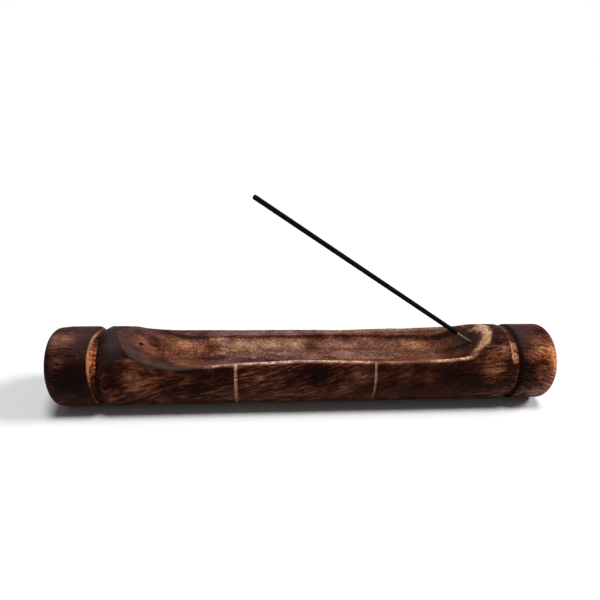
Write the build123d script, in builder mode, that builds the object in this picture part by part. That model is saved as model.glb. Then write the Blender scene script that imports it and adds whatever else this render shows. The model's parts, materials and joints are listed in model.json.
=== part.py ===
from build123d import *
from math import cos, hypot, radians, sin, sqrt, tan
import os

# Incense stick holder: one round of wood lying on its side, turned with a ring groove near each end and two
# scored rings, hollowed along its top into an ash trough, and drilled for a stick on each end ramp.
# Millimetres. The origin is under the middle of the flat base, +X runs along the round and +Z is up.

# Round of wood
BODY_LENGTH = 302.6
BODY_DIAMETER = 47.5
BASE_CUT = 1.65
END_ROUND = 4.0

# Ring grooves, measured from the end of the round to the bottom of the V: one wall runs out to the cap at the end
# and the other, which leans more, to the body
LEFT_GROOVE_FROM_END = 27.5
LEFT_GROOVE_CAP_RUN = 3.0
LEFT_GROOVE_BODY_RUN = 4.6
LEFT_GROOVE_DEPTH = 2.3
RIGHT_GROOVE_FROM_END = 25.4
RIGHT_GROOVE_CAP_RUN = 1.8
RIGHT_GROOVE_BODY_RUN = 5.5
RIGHT_GROOVE_DEPTH = 1.5
CAP_SHOULDER_ROUND = 2.0

# Scored rings, measured from the middle of the round
LEFT_SCORE_FROM_MIDDLE = 44.4
RIGHT_SCORE_FROM_MIDDLE = 37.9
SCORE_WIDTH = 1.7
SCORE_DEPTH = 0.7

# Ash trough: its ends are where the round lips of its ramps come out over the crown of the round
TROUGH_FLOOR_HEIGHT = 28.0
TROUGH_WIDTH = 38.2
TROUGH_WALL_LEAN = 24.0
TROUGH_FLOOR_DISH = 3.2
TROUGH_CORNER_ROUND = 4.0
TROUGH_RIM_ROUND = 1.0
LEFT_TROUGH_END_FROM_END = 35.9
RIGHT_TROUGH_END_FROM_END = 33.7
LEFT_RAMP_RADIUS = 66.0
RIGHT_RAMP_RADIUS = 41.0
LEFT_LIP_ROUND = 6.0
RIGHT_LIP_ROUND = 12.0
LIP_OVERRUN = 0.2

# Stick holes, measured level from the end of the trough to the mouth
LEFT_HOLE_FROM_TROUGH_END = 14.4
RIGHT_HOLE_FROM_TROUGH_END = 15.0
HOLE_DIAMETER = 2.0
HOLE_DEPTH = 22.0
STICK_LEAN = 33.85

# Incense stick
SPLINT_DIAMETER = 1.5
SPLINT_BARE_LENGTH = 12.2
SPLINT_END_CHAMFER = 0.25
COAT_DIAMETER = 2.9
COAT_LENGTH = 152.4
COAT_TIP_COVER = 1.2
COAT_TIP_ROUND = 0.9
COAT_FOOT_CHAMFER = 0.3

# Clearances and the overrun of the cuts
HOLE_BOTTOM_CLEARANCE = 0.3
CUT_OVERRUN = 4.0
SURFACE_TOLERANCE_SHARE = 0.0001

radius = BODY_DIAMETER / 2
half_length = BODY_LENGTH / 2
axis_height = radius - BASE_CUT
crown_height = axis_height + radius
turning_axis = Axis((0, 0, axis_height), (1, 0, 0))
turning_plane = Plane(origin=(0, 0, axis_height), x_dir=(1, 0, 0), z_dir=(0, -1, 0))


def on_the_round(point):
    """Whether a point lies on the turned outside of the round."""
    return abs(hypot(point.Y, point.Z - axis_height) - radius) < radius * SURFACE_TOLERANCE_SHARE


# Floor of the trough, in the upright plane through the middle: a level run, a hollow arc up each ramp and a
# round lip that comes out just over the crown
left_trough_end = LEFT_TROUGH_END_FROM_END - half_length
right_trough_end = half_length - RIGHT_TROUGH_END_FROM_END
lip_height = crown_height + LIP_OVERRUN
gouge_rise = lip_height - TROUGH_FLOOR_HEIGHT


def ramp_run(ramp_radius, lip_round):
    """Level distance from the foot of a ramp's hollow arc to the top of its round lip."""
    both = ramp_radius + lip_round
    return sqrt(both**2 - (both - gouge_rise) ** 2)


def ramp_height(ramp_radius, run):
    """Height of a ramp's hollow arc above the floor, at a level distance from its foot."""
    return ramp_radius - sqrt(ramp_radius**2 - run**2)


def ramp_bend(ramp_radius, lip_round, foot, side):
    """Point where a ramp's hollow arc turns over into its lip, on the side -1 or 1 of the foot."""
    hollow_share = ramp_radius / (ramp_radius + lip_round)
    run = ramp_run(ramp_radius, lip_round) * hollow_share
    return (foot + side * run, TROUGH_FLOOR_HEIGHT + gouge_rise * hollow_share)


left_ramp_foot = left_trough_end + ramp_run(LEFT_RAMP_RADIUS, LEFT_LIP_ROUND)
right_ramp_foot = right_trough_end - ramp_run(RIGHT_RAMP_RADIUS, RIGHT_LIP_ROUND)
left_bend = ramp_bend(LEFT_RAMP_RADIUS, LEFT_LIP_ROUND, left_ramp_foot, -1)
right_bend = ramp_bend(RIGHT_RAMP_RADIUS, RIGHT_LIP_ROUND, right_ramp_foot, 1)

# Section of the trough, from the middle of its floor: the wall passes through the rim on the round
rim_half_width = TROUGH_WIDTH / 2
rim_height = axis_height + sqrt(radius**2 - rim_half_width**2) - TROUGH_FLOOR_HEIGHT
wall_slope = tan(radians(TROUGH_WALL_LEAN))
foot_half_width = rim_half_width - (rim_height - TROUGH_FLOOR_DISH) * wall_slope
top_half_width = rim_half_width + (gouge_rise - rim_height) * wall_slope

# Stick holes: each mouth is on its ramp and its axis leans over the trough
left_hole_x = left_trough_end + LEFT_HOLE_FROM_TROUGH_END
right_hole_x = right_trough_end - RIGHT_HOLE_FROM_TROUGH_END
left_hole_z = TROUGH_FLOOR_HEIGHT + ramp_height(LEFT_RAMP_RADIUS, left_ramp_foot - left_hole_x)
right_hole_z = TROUGH_FLOOR_HEIGHT + ramp_height(RIGHT_RAMP_RADIUS, right_hole_x - right_ramp_foot)
lean_run = cos(radians(STICK_LEAN))
lean_rise = sin(radians(STICK_LEAN))
left_hole_plane = Plane(origin=(left_hole_x, 0, left_hole_z), x_dir=(0, 1, 0), z_dir=(lean_run, 0, lean_rise))
right_hole_plane = Plane(origin=(right_hole_x, 0, right_hole_z), x_dir=(0, 1, 0), z_dir=(-lean_run, 0, lean_rise))

# Holder body
left_groove_x = LEFT_GROOVE_FROM_END - half_length
right_groove_x = half_length - RIGHT_GROOVE_FROM_END

with BuildPart() as holder_body:
    # The round is turned whole: half outline with rounded ends and two V grooves, rounded where the caps begin
    with BuildSketch(turning_plane) as half_outline:
        with BuildLine():
            Polyline(
                (-half_length, 0),
                (-half_length, radius),
                (left_groove_x - LEFT_GROOVE_CAP_RUN, radius),
                (left_groove_x, radius - LEFT_GROOVE_DEPTH),
                (left_groove_x + LEFT_GROOVE_BODY_RUN, radius),
                (right_groove_x - RIGHT_GROOVE_BODY_RUN, radius),
                (right_groove_x, radius - RIGHT_GROOVE_DEPTH),
                (right_groove_x + RIGHT_GROOVE_CAP_RUN, radius),
                (half_length, radius),
                (half_length, 0),
                close=True,
            )
        make_face()
        shoulders = half_outline.vertices().group_by(Axis.Y)[-1].sort_by(Axis.X)[1:-1]
        fillet([shoulders[0], shoulders[-1]], radius=CAP_SHOULDER_ROUND)
        end_corners = half_outline.vertices().group_by(Axis.Y)[-1].sort_by(Axis.X)
        fillet([end_corners[0], end_corners[-1]], radius=END_ROUND)
    revolve(axis=turning_axis)

    # Flat planed along the underside
    split(bisect_by=Plane.XY, keep=Keep.TOP)

    # Ash trough: one gouge section carried down the left ramp, along the floor and up the right ramp
    with BuildLine(Plane.XZ) as gouge_path:
        left_lip = RadiusArc((left_trough_end, lip_height), left_bend, LEFT_LIP_ROUND)
        RadiusArc(left_bend, (left_ramp_foot, TROUGH_FLOOR_HEIGHT), -LEFT_RAMP_RADIUS)
        Line((left_ramp_foot, TROUGH_FLOOR_HEIGHT), (right_ramp_foot, TROUGH_FLOOR_HEIGHT))
        RadiusArc((right_ramp_foot, TROUGH_FLOOR_HEIGHT), right_bend, -RIGHT_RAMP_RADIUS)
        RadiusArc(right_bend, (right_trough_end, lip_height), RIGHT_LIP_ROUND)
    with BuildSketch(Plane(origin=left_lip @ 0, x_dir=(0, 1, 0), z_dir=left_lip % 0)) as gouge_section:
        with BuildLine():
            floor_dish = ThreePointArc(
                (-foot_half_width, TROUGH_FLOOR_DISH), (0, 0), (foot_half_width, TROUGH_FLOOR_DISH)
            )
            Polyline(
                floor_dish @ 1,
                (top_half_width, gouge_rise),
                (-top_half_width, gouge_rise),
                floor_dish @ 0,
            )
        make_face()
        floor_corners = gouge_section.vertices().group_by(Axis.Y)[0]
        fillet(floor_corners, radius=TROUGH_CORNER_ROUND)
    sweep(path=gouge_path.wires()[0], mode=Mode.SUBTRACT)

    # Rim softened all round, before the rings are scored across it
    rim = holder_body.edges(Select.LAST).filter_by(lambda edge: on_the_round(edge @ 0.5))
    fillet(rim, radius=TROUGH_RIM_ROUND)

    # Scored rings: a V cut into the round, which stops at the rim
    with BuildSketch(turning_plane):
        for score_x in (-LEFT_SCORE_FROM_MIDDLE, RIGHT_SCORE_FROM_MIDDLE):
            with BuildLine():
                Polyline(
                    (score_x - SCORE_WIDTH / 2, radius),
                    (score_x, radius - SCORE_DEPTH),
                    (score_x + SCORE_WIDTH / 2, radius),
                    (score_x + SCORE_WIDTH / 2, radius + CUT_OVERRUN),
                    (score_x - SCORE_WIDTH / 2, radius + CUT_OVERRUN),
                    close=True,
                )
            make_face()
    revolve(axis=turning_axis, mode=Mode.SUBTRACT)

    # Stick holes
    with Locations(left_hole_plane, right_hole_plane):
        Hole(radius=HOLE_DIAMETER / 2, depth=HOLE_DEPTH)

holder_body.part.label = "holder_body"

# Incense stick: the splint stands on the bottom of the right hole
splint_inside = HOLE_DEPTH - HOLE_BOTTOM_CLEARANCE
splint_length = splint_inside + SPLINT_BARE_LENGTH + COAT_LENGTH - COAT_TIP_COVER

with BuildPart() as bamboo_splint:
    with BuildSketch(right_hole_plane.offset(-splint_inside)):
        Circle(SPLINT_DIAMETER / 2)
    extrude(amount=splint_length)
    chamfer(bamboo_splint.edges().filter_by(GeomType.CIRCLE).sort_by(Axis.Z)[0], length=SPLINT_END_CHAMFER)

bamboo_splint.part.label = "bamboo_splint"

with BuildPart() as incense_coat:
    with BuildSketch(right_hole_plane.offset(SPLINT_BARE_LENGTH)):
        Circle(COAT_DIAMETER / 2)
    extrude(amount=COAT_LENGTH)
    coat_ends = incense_coat.edges().filter_by(GeomType.CIRCLE).sort_by(Axis.Z)
    chamfer(coat_ends[0], length=COAT_FOOT_CHAMFER)
    fillet(coat_ends[-1], radius=COAT_TIP_ROUND)
    with BuildSketch(right_hole_plane.offset(SPLINT_BARE_LENGTH)):
        Circle(SPLINT_DIAMETER / 2)
    extrude(amount=COAT_LENGTH - COAT_TIP_COVER, mode=Mode.SUBTRACT)

incense_coat.part.label = "incense_coat"

os.makedirs("parts", exist_ok=True)
for piece in (holder_body.part, bamboo_splint.part, incense_coat.part):
    export_step(piece, f"parts/{piece.label}.step")
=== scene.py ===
import json
import math

import bmesh
import bpy
import numpy as np
from bpy.props import FloatProperty, FloatVectorProperty, IntProperty, PointerProperty
from mathutils import Matrix, Vector, kdtree, noise
from mathutils.bvhtree import BVHTree


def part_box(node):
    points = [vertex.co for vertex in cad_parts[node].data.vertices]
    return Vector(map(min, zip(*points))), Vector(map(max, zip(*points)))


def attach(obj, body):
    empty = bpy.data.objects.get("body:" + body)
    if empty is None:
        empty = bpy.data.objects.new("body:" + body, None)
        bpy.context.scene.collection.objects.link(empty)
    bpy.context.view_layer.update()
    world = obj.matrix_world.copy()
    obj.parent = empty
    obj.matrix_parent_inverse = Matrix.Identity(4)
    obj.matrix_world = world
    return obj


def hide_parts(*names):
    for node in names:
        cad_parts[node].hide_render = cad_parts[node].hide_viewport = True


# Looks of the incense stick holder: a scorched, carved round of wood, and the stick in its right hole.
# The frame is the solids' own, in metres: +X along the round, +Z up, the origin under the middle of the base.

bl_info = {
    "name": "Incense Stick Holder",
    "version": (1, 0, 0),
    "blender": (4, 5, 0),
    "location": "3D View > Sidebar > Incense",
    "description": "Carves and scorches the holder, rolls the incense stick and sets up the stage",
    "category": "Object",
}

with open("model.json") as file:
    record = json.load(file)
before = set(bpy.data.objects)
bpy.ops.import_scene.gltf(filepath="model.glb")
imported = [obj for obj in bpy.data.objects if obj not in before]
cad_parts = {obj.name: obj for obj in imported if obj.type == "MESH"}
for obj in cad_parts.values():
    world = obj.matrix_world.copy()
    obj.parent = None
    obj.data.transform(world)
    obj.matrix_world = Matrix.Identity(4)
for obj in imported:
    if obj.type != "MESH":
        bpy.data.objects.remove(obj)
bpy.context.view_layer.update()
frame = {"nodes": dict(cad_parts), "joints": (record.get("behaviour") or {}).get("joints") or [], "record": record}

MM = 0.001
round_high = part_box("holder_body")[1]
RADIUS = round_high.y
AXIS_HEIGHT = round_high.z - RADIUS
HALF_LENGTH = round_high.x
RADIUS_MM = RADIUS / MM
AXIS_MM = AXIS_HEIGHT / MM
LEFT_HOLE = next(mount for mount in frame["record"]["mounts"] if mount["name"] == "left_stick_hole")
STICK_AXIS = Vector(frame["joints"][0]["axis"]).normalized()


# Settings

def a_length(label, words, millimetres):
    """Length setting, in millimetres."""
    return FloatProperty(name=label, description=words, default=millimetres * MM, unit="LENGTH")


def an_angle(label, words, degrees):
    """Angle setting, in degrees."""
    return FloatProperty(name=label, description=words, default=math.radians(degrees), subtype="ANGLE")


def a_number(label, words, default):
    """Plain number setting."""
    return FloatProperty(name=label, description=words, default=default)


def a_count(label, words, default, least):
    """Whole number setting, with its least value."""
    return IntProperty(name=label, description=words, default=default, min=least)


def a_colour(label, words, *default):
    """Colour setting."""
    return FloatVectorProperty(name=label, description=words, default=default, subtype="COLOR")


def a_direction(label, words, *default):
    """Direction setting."""
    return FloatVectorProperty(name=label, description=words, default=default, subtype="DIRECTION")


class RoundSettings(bpy.types.PropertyGroup):
    """Places and sizes of the carved round that its surface needs."""

    end_round: a_length("End round", "Round at the edge of each end", 4.0)
    left_groove: a_length("Left groove", "Bottom of the left ring groove along the round", -123.8)
    right_groove: a_length("Right groove", "Bottom of the right ring groove along the round", 125.9)
    left_score: a_length("Left scored ring", "Place of the left scored ring", -44.4)
    right_score: a_length("Right scored ring", "Place of the right scored ring", 37.9)
    left_tilt: a_number("Left tilt", "How far the left end leans out for each step up", 0.055)
    right_tilt: a_number("Right tilt", "How far the right end leans out for each step up", 0.040)
    left_rub: a_length("Left rub", "Wood rubbed off the upper edge of the left end", 0.6)
    crown_width: a_length("Crown strip", "Half width of the strip of columns on top of the end caps", 9.0)
    ring_spacing: a_length("Ring spacing", "Distance between rings of points on plain stretches", 0.95)
    inner_columns: a_count("Inner columns", "Columns of points across the trough", 84, 20)
    outer_columns: a_count("Outer columns", "Columns of points round the outside", 132, 40)
    softening: a_count("Softening", "Passes that round over the left end of the rim", 60, 0)


class ToolMarkSettings(bpy.types.PropertyGroup):
    """Relief that the tools and the fire left on the wood."""

    wobble: a_length("Wobble", "Unevenness of the turned surface", 0.22)
    wobble_spacing: a_length("Wobble spacing", "Distance between the swells", 26.0)
    gouge: a_length("Gouge marks", "Depth of the long marks in the trough", 0.34)
    gouge_spacing: a_length("Gouge spacing", "Distance between the marks", 6.0)
    rim_wear: a_length("Rim wear", "Unevenness of the worn rim", 0.30)
    chatter: a_length("Chatter", "Depth of the beads in the left groove", 0.35)
    chatter_count: a_number("Chatter count", "Beads round the left groove", 46.0)
    grain: a_length("Raised grain", "Height of the grain that the fire left standing", 0.07)
    seed: a_number("Seed", "Fixed start of the uneven marks", 3.0)


class StickSettings(bpy.types.PropertyGroup):
    """Surface of the incense stick."""

    coat_grain: a_length("Paste grain", "Height of the grains of the paste", 0.07)
    coat_grain_size: a_length("Grain size", "Distance between the grains", 0.9)
    fibre: a_length("Fibres", "Height of the bamboo fibres", 0.05)
    fibre_size: a_length("Fibre size", "Distance between the fibres", 0.35)
    seed: a_number("Seed", "Fixed start of the uneven surface", 7.0)


class FinishSettings(bpy.types.PropertyGroup):
    """Colours of the scorched wood, the bamboo and the paste."""

    char: a_colour("Char", "Burnt black", 0.0048, 0.0020, 0.0018)
    burnt: a_colour("Burnt", "Darkest brown", 0.0150, 0.0032, 0.0016)
    dark: a_colour("Dark", "Dark red brown", 0.052, 0.0138, 0.0072)
    middle: a_colour("Middle", "Middle brown", 0.130, 0.048, 0.026)
    warm: a_colour("Warm", "Warm light brown", 0.245, 0.104, 0.058)
    tan: a_colour("Tan", "Tan of sanded wood", 0.430, 0.230, 0.128)
    pale: a_colour("Pale", "Bare worn wood", 0.770, 0.480, 0.288)
    bleached: a_colour("Bleached", "Palest flecks of worn wood", 1.0, 0.70, 0.45)
    # This grey also paints sheen on the tops of the caps and the rim's left end, and shade by the right hole.
    soot_and_sheen: a_colour("Soot", "Grey of rubbed soot", 0.050, 0.039, 0.037)
    ember: a_colour("Ember", "Tint of toasted wood", 1.0, 0.56, 0.27)
    bamboo: a_colour("Bamboo", "Bare splint", 0.300, 0.180, 0.085)
    bamboo_dark: a_colour("Bamboo fibres", "Dark fibres of the splint", 0.110, 0.055, 0.024)
    paste: a_colour("Paste", "Black paste", 0.0018, 0.0018, 0.0020)
    paste_dust: a_colour("Paste dust", "Grey dust on the paste", 0.007, 0.007, 0.007)


class StageSettings(bpy.types.PropertyGroup):
    """Camera, lamps and floor."""

    camera_place: FloatVectorProperty(
        name="Camera place", description="Where the camera stands", subtype="TRANSLATION", unit="LENGTH",
        default=(-0.03282, -0.25992, 0.20072),
    )
    camera_sight: a_direction("Camera sight", "Direction that the camera looks in", 0.0880, 0.8851, -0.4570)
    camera_up: a_direction("Camera up", "Up in the picture", 0.0012, 0.4587, 0.8886)
    lens: a_number("Lens", "Focal length in millimetres", 30.0)
    key_from: a_direction("Key from", "Direction of the overhead lamp", 0.12, -0.08, 1.0)
    key_strength: a_number("Key", "Strength of the overhead lamp", 1.9)
    key_spread: an_angle("Key spread", "Angle that the overhead lamp fills", 18.0)
    side_from: a_direction("Side from", "Direction of the lamp on the right", 1.0, 0.03, 0.80)
    side_strength: a_number("Side", "Strength of the lamp on the right", 2.0)
    side_spread: an_angle("Side spread", "Angle that the side lamp fills", 18.0)
    ambient: a_number("Ambient", "Light of the white room", 0.11)
    floor_colour: a_colour("Floor", "Colour of the floor", 0.95, 0.95, 0.95)
    floor_size: a_length("Floor size", "Half width of the floor", 12000.0)


# Patches of the finish, matched to the photo. In all these tables lengths are in
# millimetres, and angles in degrees from the top, minus on the near side. A patch is lighter or darker by its
# last number, on a tone from 0 to 1.
# On the outside: place along the round, angle, half length, half width along the girth, change.

# Painted light here: the light patch high on the left cap, at -141 along, is partly a painted sheen;
# the dark patch on the left end's edge, at -150.5 along, is painted shade.
# the light patches on the right end's edge, at 149.4 along, are worn wood and partly a painted highlight;
OUTSIDE_PATCHES = (
    (-141, -17, 8, 6, 0.34), (-139, -54, 8, 6, 0.08), (-138, -94, 10, 12, -0.14),
    (-130.5, -72, 5, 14, -0.20), (-150.5, -60, 2.4, 60, -0.12), (-140, -72, 8, 7, -0.16),
    (-115, -18, 6, 14, -0.10), (-114, -66, 4, 7, -0.14), (-107, -60, 6, 4, 0.11),
    (-112, -84, 4, 5, -0.20), (-105, -96, 9, 3.5, 0.15), (-94, -97, 8, 3, 0.11), (-103, -84, 11, 4, 0.22),
    (-90, -76, 9, 3, 0.12), (-96, -106, 26, 4, -0.02), (-70, -73, 10, 3, 0.08), (-62, -84, 15, 8, -0.11),
    (-76, -98, 8, 4, -0.08), (-52, -96, 8, 4, 0.11), (-33, -74, 9, 4, 0.15), (-24, -100, 22, 6, 0.12),
    (0, -76, 11, 7, -0.18), (14, -104, 18, 5, 0.06), (26, -78, 8, 5, 0.19), (38, -96, 6, 4, -0.09),
    (49, -80, 6, 6, -0.06), (59, -76, 6, 5, 0.15), (70, -80, 5, 4, 0.08), (90, -77, 9, 6, -0.14),
    (79, -94, 30, 10, -0.12), (110, -58, 7, 11, 0.24), (106, -74, 5, 5, 0.10), (119.5, -37, 4.5, 4, 0.38),
    (118, -82, 5, 6, -0.10), (131, -14, 6, 9, -0.04), (138, -24, 6, 5, 0.13), (140, -44, 8, 5, 0.52),
    (134, -50, 4, 3, 0.22), (129.5, -62, 3, 5, -0.14), (142, -64, 4, 4, 0.12), (146, -56, 4, 10, 0.32),
    (141, -74, 7, 6, 0.10), (133, -84, 5, 8, -0.08), (142, -109, 9, 7, 0.38), (149.4, -68, 3.4, 18, 0.42),
    (149.4, -20, 3.0, 14, 0.16), (-128, 60, 12, 20, -0.04), (-88, 84, 24, 9, 0.17),
    (-40, 74, 20, 8, -0.08), (0, 98, 30, 8, 0.12), (30, 76, 15, 8, -0.08), (76, 88, 22, 9, 0.15),
    (110, 62, 8, 12, 0.20), (139, 50, 10, 14, 0.24), (-60, 150, 30, 10, 0.10), (50, 155, 36, 10, 0.08),
)

# In the trough: place along and across, half length, half width, change.

# Painted light here: the light patch at -52 along and 3 across is a painted highlight, and the dark patches
# from 87 to 103 along, in the hollow by the right hole, are partly painted shade.
TROUGH_PATCHES = (
    (-111, 4, 2, 4, -0.08), (-104, 9, 3, 3, -0.12), (-100, -8, 5, 3, -0.10), (-96, -1, 5, 3, 0.06),
    (-93, 8, 4.5, 6, -0.20), (-87, -1, 6, 6, -0.10), (-89, -11, 8, 4, -0.20), (-77, 9.5, 11, 4.5, 0.23),
    (-76, 16, 13, 2.2, -0.20), (-60, 8, 5, 5, -0.21), (-60, -3, 12, 3, -0.24), (-56, 15.5, 7, 1.6, 0.30),
    (-52, 3, 6, 2.2, 0.17), (-40, -1.5, 12, 3, 0.08), (-38, 10, 18, 6, 0.26), (-26, -6, 24, 3, -0.13),
    (-12, 1, 12, 3, 0.15), (-10, -4, 10, 2.5, 0.11), (-10, 9, 13, 5, 0.24), (-10, 15, 6, 2, -0.08),
    (3.5, 8, 6, 3, -0.14), (10, -11, 40, 3, -0.13), (12, 2, 8, 3, 0.05), (24, 9, 10, 5, 0.21),
    (28, -1, 18, 5, 0.18), (40, -4.5, 16, 0.9, 0.14), (46, 10, 6, 4, 0.11), (52, 5, 6, 3, -0.06),
    (60, 0, 12, 5, 0.09), (67, 9, 8, 4, 0.24), (76, 0, 8, 6, 0.08), (87, -4, 6, 4, -0.12),
    (92, 2, 8, 6, -0.10), (93, 11, 8, 4, -0.15), (95, -11, 5, 4, -0.20), (103, 4, 6, 8, -0.30),
)

# Single spots of tint, soot, painted sheen and painted shade. On the outside: place along, half length, angle,
# half width in degrees. In the trough: place along, half length, place across, half width.

OUTSIDE_SPOTS = {
    "left_crown": (-131, 6, -12, 26),
    "right_crown": (131, 6, -12, 26),
    "left_top": (-114, 6, -16, 30),
    "left_fan": (-98, 18, -80, 20),
    "right_fleck": (110, 9, -62, 22),
    "right_foot": (141, 9, -110, 17),
    "right_cap": (142, 8, -54, 30),
}
TROUGH_SPOTS = {"right_hole": (101, 7, 4, 8), "left_oval": (-77, 12, 9, 6)}

# Uneven swells in the finish: size, and seed.

SWELLS = {
    "drift_along": (14, 1.0), "drift_round": (11, 2.0), "drift_across": (9, 3.0), "rim": (7, 5.0),
    "lip": (5, 6.0), "soot_edge": (4, 7.0), "floor": (3.4, 8.0), "crease": (16, 9.0), "soot_and_sheen": (2.6, 11.0),
    "burns": (1.7, 13.0), "flecks": (1.1, 14.0),
}

# Rims of the trough as they were carved by hand: place along, and distance from the middle.

NEAR_RIM = (
    (-112.5, 6.2), (-110.9, 9.8), (-108, 13.2), (-104, 16.3), (-98, 18.5), (-90, 20.2), (-81, 21.0),
    (-73, 21.0), (-65, 20.7), (-59, 20.45), (-44, 19.86), (-26, 19.5), (-7, 18.96), (16, 19.26),
    (37.6, 19.71), (52, 19.87), (70, 19.6), (82.6, 19.31), (92, 18.77), (97, 17.9), (104, 15.9),
)
FAR_RIM = (
    (-105, 16.6), (-99, 18.0), (-93, 19.07), (-84, 19.9), (-68, 20.2), (-49, 20.45), (-10, 20.5),
    (9, 20.7), (22, 20.9), (36, 20.45), (49, 20.15), (56, 19.85), (63, 20.1), (69, 19.7), (78, 19.3),
    (89, 18.6), (99.5, 17.8),
)

# Worn lip on the right, seen from above: points along and across.

RIGHT_LIP = ((96, -17.4), (101.8, -13.6), (108.0, -7.8), (110.8, -2), (111.4, 3), (109.2, 8), (103, 13.5))

# Strength of the wear on the near and the far rim, worn wood and partly a painted highlight, and of the soot
# and painted sheen on the rims' left end, by place along.

NEAR_WEAR = (
    (-70, 0.0), (-60, 0.7), (-44, 0.8), (-28, 1.0), (24, 1.0), (38, 0.6), (68, 0.55), (78, 1.0),
    (97, 0.9), (102, 0.0),
)
FAR_WEAR = ((-60, 0.15), (0, 0.25), (18, 0.5), (80, 0.6), (95, 0.3), (100, 0.0))
RIM_SOOT_AND_SHEEN = ((-114, 0.2), (-110, 0.5), (-106, 0.95), (-78, 1.0), (-66, 0.6), (-48, 0.0))

# Left groove's pale line and right groove's black band, burnt and partly painted shade: angle, and distance
# from the bottom of the groove.

PALE_LINE = (
    (-180, -2.0), (-113, -1.8), (-88, -2.2), (-64, -2.9), (-51, -3.2), (-34, -3.3), (-20, -2.8),
    (-2, -1.7), (7, -1.1), (20, -0.8), (60, -2.4), (120, -2.2), (180, -2.0),
)
BURNT_AND_SHADED_BAND = ((-180, 0.5), (-116, 0.6), (-92, 1.4), (-60, 1.9), (15, 1.9), (60, 1.2), (180, 0.5))

# Stretches round the two grooves: angle of each end, and half the softness of the ends.

TURNS = {
    "toasted": (-64, -22, 13), "half_toasted": (-104, -64, 9), "pale": (-77, 4, 15),
    "glints": (-67, -27, 6), "worn": (-59, -27, 4), "bevel_line": (-104, -66, 6),
}

# Slant of the grain streaks on the near side: place along, and rise for each step along.

GRAIN_SLANT = (
    (-151, -0.08), (-127, -0.02), (-119, 0.10), (-80, 0.12), (-44, 0.22), (10, 0.42), (60, 0.36),
    (100, 0.20), (122, 0.10), (128, -0.28), (151, -0.30),
)

# Tones of the ground and of the marks that cover it, and the tone of each colour as a share of the full tone.

TONES = {
    "outside": 0.265, "trough": 0.49, "pale_edge": 0.80, "cap_wall": 0.16, "body_wall": 0.08,
    "black_wall": 0.05, "left_score": 0.80, "right_score": 0.73, "bare": 0.98,
}
FULL_TONE = 1.2
TONE_SCALE = {
    "char": 0.0, "burnt": 0.14, "dark": 0.28, "middle": 0.415, "warm": 0.55, "tan": 0.69, "pale": 0.83,
    "bleached": 1.0,
}

# Tints that the colour of the wood is multiplied by: two that lie mixed everywhere, and one for rosy places.

COOL_TINT = (0.95, 0.91, 1.11, 1.0)
WARM_TINT = (1.05, 1.02, 0.84, 1.0)
ROSY_TINT = (0.93, 1.08, 1.75, 1.0)

# Grain groups: for each output, the noise that gives 0 and 1, a step of the seed, and the shape of the noise.

GRAINS = {
    "Fibres": {
        "Streaks": (0.28, 0.72, 0.0, {"detail": 3.0, "roughness": 0.55, "distortion": 0.35}),
        "Fine": (0.28, 0.72, 0.0, {"scale": 3.1, "detail": 3.0, "roughness": 0.6, "distortion": 0.15}),
        "Pores": (0.30, 0.42, 5.0, {"scale": 5.5}),
    },
    "Stipple": {
        "Grains": (0.32, 0.68, 0.0, {"roughness": 0.6}),
        "Mottle": (0.30, 0.70, 3.0, {"scale": 0.14}),
    },
}


# Small tools

def rise(value, start, end):
    """Smooth rise from 0 at start to 1 at end."""
    share = np.clip((value - start) / (end - start), 0.0, 1.0)
    return share * share * (3.0 - 2.0 * share)


def fall(value, start, end):
    """Smooth drop from 1 at start to 0 at end."""
    return 1 - rise(value, start, end)


def band(value, low, high, soft):
    """Share that is 1 from low to high, with soft edges."""
    return rise(value, low - soft, low + soft) * fall(value, high - soft, high + soft)


def spot(*gaps):
    """Soft round spot, where each gap is a distance from its middle over its half width."""
    return np.exp(-sum(gap**2 for gap in gaps))


def blend(tone, share, target):
    """Tone moved by a share towards a target."""
    return tone + share * (target - tone)


def show(name, data):
    """Object of its own in the scene."""
    made = bpy.data.objects.new(name, data)
    bpy.context.scene.collection.objects.link(made)
    return made


def settle(piece):
    """Turns what the piece's modifiers make into its plain mesh."""
    graph = bpy.context.evaluated_depsgraph_get()
    mesh = bpy.data.meshes.new_from_object(
        piece.evaluated_get(graph), preserve_all_data_layers=True, depsgraph=graph
    )
    old = piece.data
    piece.modifiers.clear()
    piece.data = mesh
    mesh.name = piece.name
    bpy.data.meshes.remove(old)


def vertex_places(mesh, field="co"):
    """Places, or normals, of a mesh's points as an array."""
    places = np.empty(len(mesh.vertices) * 3)
    mesh.vertices.foreach_get(field, places)
    return places.reshape(-1, 3)


def store(mesh, name, values):
    """Keeps one number or one vector for each point."""
    kind, field = ("FLOAT", "value") if values.ndim == 1 else ("FLOAT_VECTOR", "vector")
    attribute = mesh.attributes.new(name, kind, "POINT")
    attribute.data.foreach_set(field, np.ascontiguousarray(values, dtype=np.float32).ravel())


# Node trees

class Wire:
    """One output of a node. Plain sums on it make Math nodes."""

    def __init__(self, graph, node, output=0):
        self.graph, self.node, self.output = graph, node, output

    def __getitem__(self, output):
        return Wire(self.graph, self.node, output)

    def __add__(self, other):
        return self.graph.math("ADD", self, other)

    def __radd__(self, other):
        return self.graph.math("ADD", other, self)

    def __sub__(self, other):
        return self.graph.math("SUBTRACT", self, other)

    def __rsub__(self, other):
        return self.graph.math("SUBTRACT", other, self)

    def __mul__(self, other):
        return self.graph.math("MULTIPLY", self, other)

    def __truediv__(self, other):
        return self.graph.math("DIVIDE", self, other)


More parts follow.
